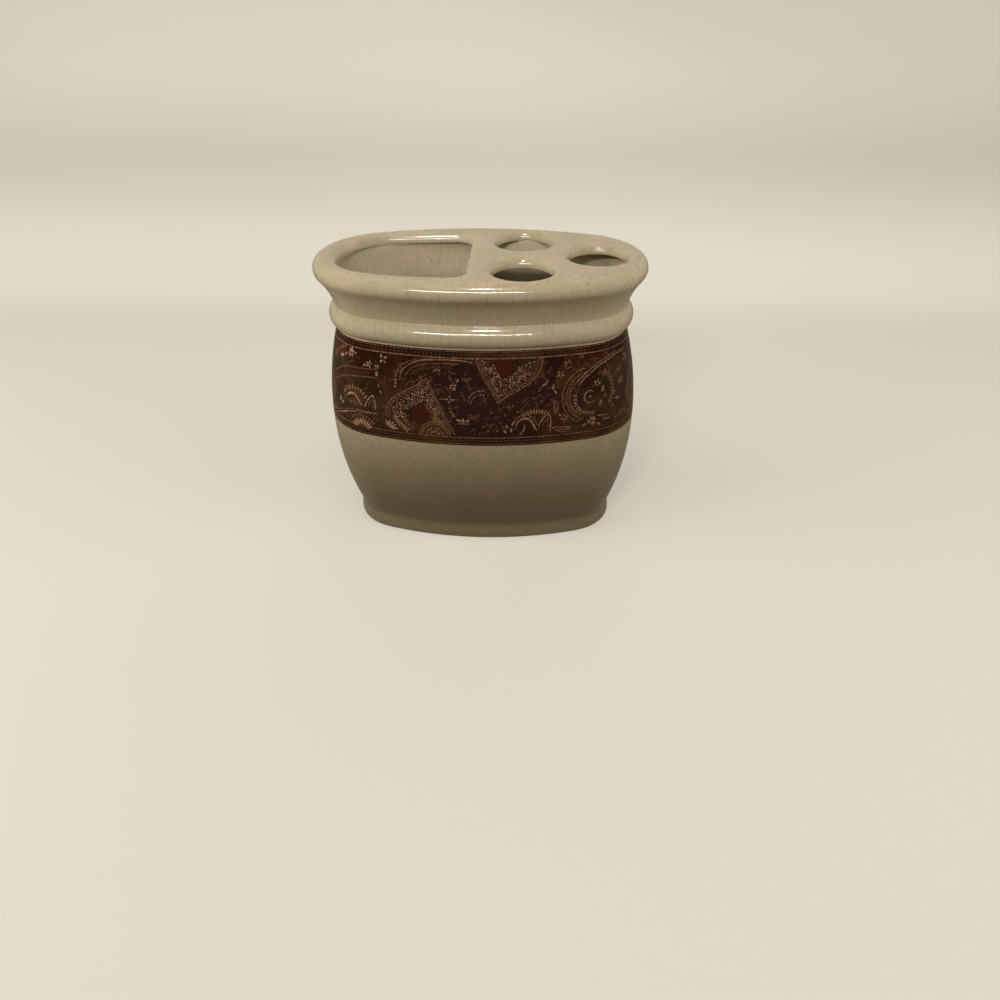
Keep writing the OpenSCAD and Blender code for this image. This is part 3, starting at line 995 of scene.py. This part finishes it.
def draw_right_scroll():
    line(
        [(13.5, 53.2), (14.3, 55.3), (16.6, 56.3), (18.8, 55.2), (20, 52.8), (20.9, 51.5)],
        0.8, "rose", 2, 0.35,
    )
    line([(14.6, 50), (16.2, 51.8), (16.5, 54)], 0.5, "rose", 2, 0.4)
    line([(12.7, 54.2), (13.9, 56.6), (16.7, 57.5), (19.4, 56.4), (21, 53.6)], 0.24, "tan")
    line([(21.3, 53.2), (23, 56), (25.1, 57.3), (25.7, 54.6), (25.5, 50.8)], 0.46, "rose")
    line([(22.7, 53.4), (24, 55.2), (24.7, 55.6), (24.7, 52.2)], 0.26, "tan")
    for x, y, turn in ((10.4, 53.5, 112), (11.8, 52, 82), (9.7, 51.5, 142), (12.3, 54.3, 60)):
        leaf((x, y), 1.8, 0.85, turn, "rose")
    rays((20.4, 49.4), 8.3, 10.2, 60, 122, 10, "ochre", 0.6)
    line([(26.3, 52.2), (29.5, 52.1), (33, 51.7)], 0.3, "rose")
    line([(26.3, 52.2), (28.4, 50.5), (31, 50.1), (33, 51.7)], 0.26, "rose")
    twig([(27.6, 51.3), (30, 51.1), (32, 51.2)], "tan", 0.6, 0.9)
    blossom((40.6, 53.1), 2.0, 7, 10, "rose", "rust")
    leaf((37.7, 51.8), 2.0, 0.9, 20, "rose")
    leaf((43.4, 51.4), 1.8, 0.8, 160, "rose")
    line([(42.9, 54.7), (47, 54.1)], 0.4, "rose")
    line([(45.4, 53), (48.2, 52.4)], 0.5, "rose")
    twig([(49.5, 50.6), (53, 52.4), (57, 53.2)], "tan", 1.1, 1.1)


def draw_ends():
    for way in (-1, 1):
        boteh((way * 64, 62.2), 8.4, way * -28, way * 0.35)
        blossom((way * 58.6, 72), 1.7, 6, 15, "rose", "umber")
        blossom((way * 69.4, 73.4), 1.4, 5, 0, "rose", "umber")
        blossom((way * 69.2, 52.6), 1.8, 7, 0, "rose", "rust")
        twig([(way * 56, 52), (way * 60, 51), (way * 65.5, 52.6)], "tan", 1.1, 1.1)
        twig([(way * 70.6, 57), (way * 70.9, 62), (way * 69.6, 67)], "tan", 1.2, 1.2)
        leaf((way * 63.5, 75), 2.4, 0.9, way * 10, "rose")


def draw_small_marks():
    """Faint flecks and sprays of short strokes that fill the field between the motifs."""
    for _ in range(FLECK_COUNT):
        spot = (CHANCE.uniform(-HALF_PRINT, HALF_PRINT), CHANCE.uniform(50, 76.3))
        leaf(spot, CHANCE.uniform(0.5, 1.2), 0.3, CHANCE.uniform(0, 180), "brown", 1)
    for _ in range(SPRAY_COUNT):
        start = (CHANCE.uniform(-HALF_PRINT, HALF_PRINT), CHANCE.uniform(50.5, 75.8))
        lean = CHANCE.uniform(0, 180)
        across = radians(lean + CHANCE.uniform(60, 120))
        size = CHANCE.uniform(0.7, 1.3)
        for i in range(CHANCE.randint(3, 6)):
            spot = at_angle(start, SPRAY_SPACING * i, across)
            if 49.8 < spot[1] < 76.4:
                leaf(spot, size, 0.3, lean, "dim", 1)


def draw_print():
    for draw in (
        draw_grounds, draw_small_marks, draw_borders, draw_upright_medallion, draw_hanging_medallion,
        draw_arches, draw_left_palmette, draw_left_blossoms, draw_upper_arc, draw_middle, draw_right_trail,
        draw_right_boteh, draw_right_scroll, draw_ends,
    ):
        draw()


INK_LAYER = 0.02 * MM
FIELD_INKS_LOW, FIELD_INKS_HIGH = 46.2, 79.4


def lay_print(name, middle, inks):
    """The drawing's shapes on the pot, one piece for each ink, about a distance round the rim oval."""
    for ink, shapes in SHAPES.items():
        vertices = []
        faces = []
        for layer, polygon in shapes:
            inset = BAND_GROUND + INK_LAYER * (layer + 1)
            start = len(vertices)
            for x, y in polygon:
                x = max(-HALF_PRINT, min(HALF_PRINT, x))
                height = max(FIELD_INKS_LOW, min(FIELD_INKS_HIGH, y)) * MM
                vertices.append(on_oval(middle + x * MM, wall_inset(height) - inset, height))
            faces.append(tuple(range(start, len(vertices))))
        piece = make_object(f"{name}_{ink}", vertices, faces, [inks[ink]])


# Materials

def new_material(name):
    material = bpy.data.materials.new(name)
    material.use_nodes = True
    return material, material.node_tree


def feed(tree, node, inputs):
    """Gives a node its inputs. A socket among them is linked, and a value is set."""
    for key, value in inputs.items():
        if isinstance(value, bpy.types.NodeSocket):
            tree.links.new(value, node.inputs[key])
        else:
            node.inputs[key].default_value = value


def add(tree, kind, inputs=None, **settings):
    """Adds a shader node with its settings and inputs."""
    made = tree.nodes.new("ShaderNode" + kind)
    for key, value in settings.items():
        setattr(made, key, value)
    feed(tree, made, inputs or {})
    return made


def place(tree):
    return add(tree, "TexCoord").outputs["Object"]


def noise(tree, where, scale, detail=2.0, roughness=0.5, distortion=0.0, output="Fac"):
    return add(tree, "TexNoise", {
        "Vector": where, "Scale": scale, "Detail": detail, "Roughness": roughness, "Distortion": distortion,
    }).outputs[output]


def ramp(tree, value, low, high, bottom=0.0, top=1.0):
    """The value carried smoothly from the range low..high to bottom..top."""
    return add(tree, "MapRange", {
        "Value": value, "From Min": low, "From Max": high, "To Min": bottom, "To Max": top,
    }, interpolation_type="SMOOTHSTEP").outputs["Result"]


def blend(tree, amount, first, second):
    return add(tree, "Mix", {0: amount, 6: first, 7: second}, data_type="RGBA").outputs[2]


def maths(tree, kind, first, second=0.5):
    return add(tree, "Math", {0: first, 1: second}, operation=kind).outputs[0]


def product(tree, first, second):
    return maths(tree, "MULTIPLY", first, second)


def vector_maths(tree, kind, first, second):
    return add(tree, "VectorMath", {0: first, 1: second}, operation=kind).outputs[0]


def cell_edges(tree, socket, where, cell, width, dimensions):
    """Lines between cells of the given size: 1 on a line and 0 away from it."""
    edge = add(
        tree, "TexVoronoi", {socket: where, "Scale": 1 / cell},
        voronoi_dimensions=dimensions, feature="DISTANCE_TO_EDGE",
    )
    return ramp(tree, edge.outputs["Distance"], 0.0, width / cell, 1.0, 0.0)


def cracks(tree, where, cell, width, warp, stretch=(1, 1, 1)):
    """Network of fine lines between cells of the given size."""
    bent = noise(tree, where, 0.45 / cell, 3.0, output="Color")
    centred = vector_maths(tree, "SUBTRACT", bent, (0.5, 0.5, 0.5))
    moved = vector_maths(tree, "ADD", where, vector_maths(tree, "MULTIPLY", centred, (warp, warp, warp)))
    return cell_edges(tree, "Vector", vector_maths(tree, "MULTIPLY", moved, stretch), cell, width, "3D")


def upright_cracks(tree, where, spacing, width):
    """Fine lines that run up and down the walls."""
    x, y = add(tree, "SeparateXYZ", {0: where}).outputs[:2]
    middle = maths(tree, "MINIMUM", maths(tree, "MAXIMUM", x, -END_X), END_X)
    angle = maths(tree, "ARCTAN2", maths(tree, "SUBTRACT", x, middle), maths(tree, "ABSOLUTE", y))
    along = maths(tree, "ADD", middle, product(tree, angle, END_RADIUS))
    for scale, reach in ((120, 2.6 * MM), (620, 0.7 * MM)):
        along = maths(tree, "ADD", along, product(tree, noise(tree, where, scale, 1.0), reach))
    return cell_edges(tree, "W", along, spacing, width, "1D")


def glazed(tree, where, colour, roughness, specular=0.25, coat=0.8):
    """Glossy glaze over a colour, with a gentle swell in its surface."""
    swell = noise(tree, where, 75)
    normal = add(tree, "Bump", {"Height": swell, "Strength": 1.0, "Distance": GLAZE_SWELL}).outputs[0]
    feed(tree, tree.nodes["Principled BSDF"], {
        "Base Color": colour, "Roughness": roughness, "Specular IOR Level": specular,
        "Coat Weight": coat, "Coat Roughness": 0.05, "Normal": normal, "Coat Normal": normal,
    })


GLAZE_CREAM = srgb(206, 192, 160)
GLAZE_PINK = srgb(214, 188, 160)
GLAZE_GREEN = srgb(197, 187, 153)
GLAZE_SHADE = srgb(150, 134, 102)
# Painted shade: a dark brown mixed into the glaze low on the body
GLAZE_PAINTED_SHADE = srgb(97, 83, 51)
CRACK_BROWN = srgb(98, 82, 54)
SPECK_BROWN = srgb(84, 60, 38)
INK_DARK = srgb(26, 12, 7)
INK_CRACK = srgb(24, 12, 8)
GLAZE_SWELL = 0.25 * MM


def make_glaze():
    material, tree = new_material("crackle_glaze")
    where = place(tree)
    height = add(tree, "SeparateXYZ", {0: where}).outputs["Z"]
    patches = ramp(tree, noise(tree, where, 55, 3.0), 0.42, 0.62)
    colour = blend(tree, patches, GLAZE_GREEN, GLAZE_CREAM)
    tints = ramp(tree, noise(tree, where, 130), 0.5, 0.7, 0.0, 0.8)
    colour = blend(tree, tints, colour, GLAZE_PINK)
    mottle = ramp(tree, noise(tree, where, 520, 3.0, 0.6), 0.42, 0.66, 0.0, 0.18)
    colour = blend(tree, mottle, colour, GLAZE_SHADE)
    # Painted shade: from the top of the band down to near the table, the glaze is mixed ever more towards a
    # dark brown, a little less on the foot strip. This stands in for the shade low on the pot.
    low = ramp(tree, height, 10 * MM, BAND_HIGH.z, 1.0, 0.0)
    on_foot = ramp(tree, height, FOOT_HEIGHT - 1 * MM, FOOT_HEIGHT + 1 * MM, 0.77, 0.86)
    colour = blend(tree, product(tree, low, on_foot), colour, GLAZE_PAINTED_SHADE)

    # Cracks: two nets on the body and deck, and upright lines on the neck and bead
    fading = noise(tree, where, 130, 3.0)
    net = cracks(tree, where, 4.6 * MM, 0.13 * MM, 2.4 * MM, (1, 1, 1.25))
    net = product(tree, net, ramp(tree, fading, 0.4, 0.68, 0.15, 0.8))
    fine = cracks(tree, where, 2.2 * MM, 0.1 * MM, 1.2 * MM, (1, 1, 1.4))
    fine = product(tree, fine, ramp(tree, fading, 0.4, 0.66, 0.7, 0.25))
    both = product(tree, maths(tree, "MAXIMUM", net, fine), ramp(tree, height, BAND_LOW.z, TOP, 1.0, 0.6))
    broken = ramp(tree, noise(tree, where, 210), 0.36, 0.62)
    upright = product(tree, upright_cracks(tree, where, 2.9 * MM, 0.1 * MM), broken)
    upright = maths(tree, "MAXIMUM", upright, product(tree, both, 0.3))
    over_bead = ramp(tree, height, BEAD_BOTTOM - 1 * MM, BEAD_BOTTOM + 1 * MM)
    on_neck = product(tree, over_bead, ramp(tree, height, TOP - 3 * MM, TOP - 1 * MM, 1.0, 0.0))
    lines = add(tree, "Mix", {0: on_neck, 2: both, 3: upright}).outputs[0]
    colour = blend(tree, product(tree, lines, 0.75), colour, CRACK_BROWN)

    # Small dark specks, in a few of the cells only
    specks = add(tree, "TexVoronoi", {"Vector": where, "Scale": 260})
    speck = ramp(tree, specks.outputs["Distance"], 0.05, 0.09, 1.0, 0.0)
    number = add(tree, "SeparateColor", {0: specks.outputs["Color"]}).outputs[0]
    colour = blend(tree, product(tree, speck, ramp(tree, number, 0.965, 0.97)), colour, SPECK_BROWN)
    glazed(tree, where, colour, ramp(tree, lines, 0.0, 1.0, 0.2, 0.4))
    return material


def make_clay():
    material, tree = new_material("bare_clay")
    where = place(tree)
    grain = noise(tree, where, 900, 4.0)
    stain = ramp(tree, noise(tree, where, 90, 3.0), 0.35, 0.7)
    colour = blend(tree, stain, srgb(214, 200, 172), srgb(196, 178, 146))
    colour = blend(tree, ramp(tree, grain, 0.55, 0.75, 0.0, 0.4), colour, srgb(160, 140, 110))
    bump = add(tree, "Bump", {"Height": grain, "Strength": 0.6, "Distance": 0.1 * MM}).outputs[0]
    feed(tree, tree.nodes["Principled BSDF"], {"Base Color": colour, "Roughness": 0.85, "Normal": bump})
    return material


def make_ink(name, first, second, patch=70, broken=0.8):
    """Printed colour under glaze, that drifts between two tones and is broken by a fine grain."""
    material, tree = new_material("print_" + name)
    where = place(tree)
    grain = noise(tree, where, 1300, 3.0, 0.7)
    cloud = ramp(tree, noise(tree, where, patch, 3.0, 0.6, 0.8), 0.38, 0.62)
    colour = blend(tree, cloud, srgb(*first), srgb(*second))
    colour = blend(tree, ramp(tree, grain, 0.46, 0.64, 0.0, broken), colour, INK_DARK)
    lines = cracks(tree, where, 5.2 * MM, 0.2 * MM, 5 * MM)
    colour = blend(tree, product(tree, lines, 0.35), colour, INK_CRACK)
    glazed(tree, where, colour, ramp(tree, grain, 0.3, 0.7, 0.2, 0.34), specular=0.06, coat=0.4)
    return material


def make_inks():
    """The ground and the nine inks, by name."""
    return {name: make_ink(name, *look) for name, *look in (
        ("ground", (44, 20, 8), (72, 44, 21), 60, 0.5),
        ("plum", (36, 16, 12), (50, 22, 14), 70, 0.5),
        ("umber", (40, 23, 11), (64, 42, 22), 70, 0.5),
        ("brown", (104, 64, 38), (84, 50, 30), 70, 0.6),
        ("dim", (116, 80, 58), (92, 60, 42), 90, 0.7),
        ("rust", (72, 26, 9), (58, 20, 8), 70, 0.4),
        ("tan", (150, 106, 74), (128, 88, 58)),
        ("ochre", (152, 118, 70), (160, 122, 82)),
        ("rose", (164, 120, 96), (138, 98, 74)),
        ("pale", (192, 148, 122), (168, 126, 98)),
    )}


# Camera, floor and light

CAMERA_SIDE = 6.294 * MM
CAMERA_BACK = 272.089 * MM
CAMERA_HEIGHT = 193.796 * MM
CAMERA_PITCH = radians(35.236)
CAMERA_ROLL = radians(-0.418)
OBJECT_TURN = radians(-2.774)
FOCAL_SHARE = 0.810469
SENSOR = 36.0
FLOOR_REACH = 3.0
WALL_DISTANCE = 0.42
FLOOR_BEND = 0.25
FLOOR_BEND_STEPS = 16


def make_camera():
    data = bpy.data.cameras.new("camera")
    data.sensor_width = SENSOR
    data.lens = FOCAL_SHARE * SENSOR
    data.clip_start = 10 * MM
    data.clip_end = 20.0
    camera = linked("camera", data)
    turn = Matrix.Rotation(-OBJECT_TURN, 4, "Z")
    spot = Matrix.Translation(Vector((CAMERA_SIDE, -CAMERA_BACK, CAMERA_HEIGHT)))
    tilt = Matrix.Rotation(pi / 2 - CAMERA_PITCH, 4, "X")
    roll = Matrix.Rotation(CAMERA_ROLL, 4, "Z")
    camera.matrix_world = turn @ spot @ tilt @ roll
    bpy.context.scene.camera = camera


def make_floor():
    """Plain pale floor that bends up into a wall. It bounces a duller colour than the eye sees."""
    bend_y, reach = WALL_DISTANCE - FLOOR_BEND, FLOOR_REACH
    bend = [
        (bend_y + FLOOR_BEND * sin(turn), FLOOR_BEND - FLOOR_BEND * cos(turn))
        for turn in spaced(0, pi / 2, FLOOR_BEND_STEPS)[1:]
    ]
    profile = [(-reach, 0.0), (bend_y, 0.0), *bend, (WALL_DISTANCE, reach)]
    vertices = [(side * reach, y, z) for y, z in profile for side in (-1, 1)]
    faces = [(2 * i, 2 * i + 1, 2 * i + 3, 2 * i + 2) for i in range(len(profile) - 1)]
    material, tree = new_material("floor")
    where = place(tree)
    path = add(tree, "LightPath")
    height = add(tree, "SeparateXYZ", {0: where}).outputs["Z"]
    upper = ramp(tree, height, 0.02, 0.12)
    mirrored = product(tree, path.outputs["Is Glossy Ray"], ramp(tree, height, 0.02, 0.12, 0.2, 0.6))
    seen = maths(tree, "MAXIMUM", path.outputs["Is Camera Ray"], mirrored)
    pale = blend(tree, upper, srgb(186, 180, 169), srgb(224, 218, 206))
    bounced = blend(tree, upper, srgb(96, 78, 52), srgb(164, 154, 134))
    low_glow = ramp(tree, height, 0.0, 0.006, 0.46, 0.54)
    glow = product(tree, low_glow, ramp(tree, height, 0.012, 0.07, 1.0, 0.45))
    distance = add(tree, "VectorMath", {0: where}, operation="LENGTH").outputs["Value"]
    glow = add(tree, "Mix", {0: ramp(tree, distance, 0.6, 1.3), 2: glow, 3: 0.87}).outputs[0]
    feed(tree, tree.nodes["Principled BSDF"], {
        "Base Color": blend(tree, seen, bounced, pale), "Roughness": 0.9, "Specular IOR Level": 0.1,
        "Emission Color": srgb(222, 217, 205), "Emission Strength": product(tree, seen, glow),
    })
    floor = linked("floor", make_mesh("floor", vertices, faces, [material]))


def make_lamp(name, azimuth, elevation, distance, width, height, power, lights):
    """Soft box aimed at the holder, that either lights it or only shows as a reflection in it.
    Azimuth 0 is in front and 90 to the right, in degrees."""
    data = bpy.data.lights.new(name, "AREA")
    data.shape = "RECTANGLE"
    data.size = width
    data.size_y = height
    data.energy = power
    data.color = (1, 0.96, 0.9)
    lamp = linked(name, data)
    a, e = radians(azimuth), radians(elevation)
    away = Vector((sin(a) * cos(e), -cos(a) * cos(e), sin(e)))
    lamp.location = Vector((0, 0, 0.6 * TOP)) + away * distance
    lamp.rotation_euler = away.to_track_quat("Z", "Y").to_euler()
    lamp.visible_diffuse = lights
    lamp.visible_glossy = not lights


def make_lights():
    for lamp in (
        ("key", -16, 70, 0.5, 0.4, 0.25, 0.78, True),
        ("window", -16, 35.5, 0.9, 0.2, 0.05, 2.0, True),
        ("left_fill", -76, 16, 0.6, 0.4, 0.4, 2.0, True),
        ("right_fill", 76, 16, 0.6, 0.4, 0.4, 1.6, True),
        ("back_fill", 165, 42, 0.36, 0.3, 0.2, 0.2, True),
        ("small_shine", -2, 53, 0.9, 0.13, 0.08, 2.4, False),
        ("long_shine", -6, 22, 0.9, 0.66, 0.05, 4.8, False),
    ):
        make_lamp(*lamp)
    world = bpy.data.worlds.new("room")
    world.use_nodes = True
    tree = world.node_tree
    seen = add(tree, "LightPath").outputs["Is Camera Ray"]
    strength = ramp(tree, seen, 0.0, 1.0, 0.06, 0.8)
    feed(tree, tree.nodes["Background"], {"Color": srgb(235, 228, 214), "Strength": strength})
    bpy.context.scene.world = world


make_camera()
bpy.context.scene.view_settings.view_transform = "Standard"
glaze = make_glaze()
inks = make_inks()
make_pot(glaze, make_clay())
make_deck(glaze)
partition = frame["nodes"]["partition"]
partition.data.materials.clear()
partition.data.materials.append(glaze)
draw_print()
for side, middle in (("front", 0.0), ("back", 2 * QUARTER)):
    start, end = middle - QUARTER + BAND_GAP, middle + QUARTER - BAND_GAP
    band = make_band(f"print_{side}_ground", start, end, inks["ground"])
    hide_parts(f"transfer_{side}")
    lay_print(f"print_{side}", middle, inks)
make_floor()
make_lights()
